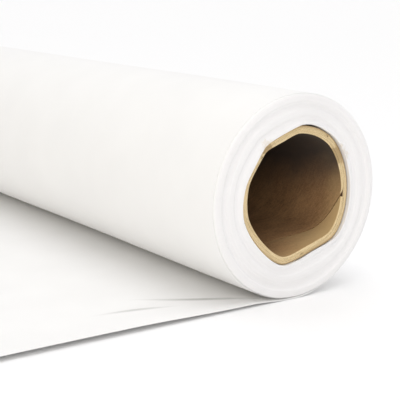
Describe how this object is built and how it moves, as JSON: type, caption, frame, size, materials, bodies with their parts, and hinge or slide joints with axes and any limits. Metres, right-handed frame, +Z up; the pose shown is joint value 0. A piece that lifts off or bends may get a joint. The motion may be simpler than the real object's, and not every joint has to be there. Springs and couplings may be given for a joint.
{
  "type": "backdrop paper roll",
  "caption": "Roll of white backdrop paper on a spiral-wound cardboard core, lying on its side with a length of paper pulled off the bottom.",
  "frame": {"origin": "on the floor, straight under the roll's axis, halfway along its width, on the underside of the loose sheet", "axes": "+X along the core towards its right-hand end, +Z up, the loose sheet runs off towards -Y"},
  "size_m": [0.66, 0.3274, 0.097],
  "materials": {
    "backdrop_paper": "smooth white, soft sheen",
    "core_board": "brown kraft, matte, fibrous",
    "liner_board": "brown kraft, matte, smooth inside face",
    "start_tape": "crepe paper tape, satin"
  },
  "bodies": {
    "sheet": {"loose_sheet": "backdrop_paper"},
    "wrap": {"outer_wrap": "backdrop_paper"},
    "roll": {"core_liner": "liner_board", "core_ply_2": "core_board", "core_ply_3": "core_board", "core_ply_4": "core_board", "core_outer_ply": "core_board", "start_tape_left": "start_tape", "start_tape_middle": "start_tape", "start_tape_right": "start_tape", "wound_paper": "backdrop_paper"}
  },
  "joints": [
    {"name": "roll_travel", "type": "slide", "parent": "sheet", "child": "wrap", "axis": [0, 1, 0], "range_m": [-0.12, 0.305], "deforming": ["loose_sheet"]},
    {"name": "roll_turn", "type": "hinge", "parent": "wrap", "child": "roll", "pos_m": [0, 0, 0.0485], "axis": [1, 0, 0], "range_deg": [-361, 142.5]}
  ],
  "couplings": [
    {"joint": "roll_turn", "follows": "roll_travel", "rad_per_m": -20.619}
  ]
}
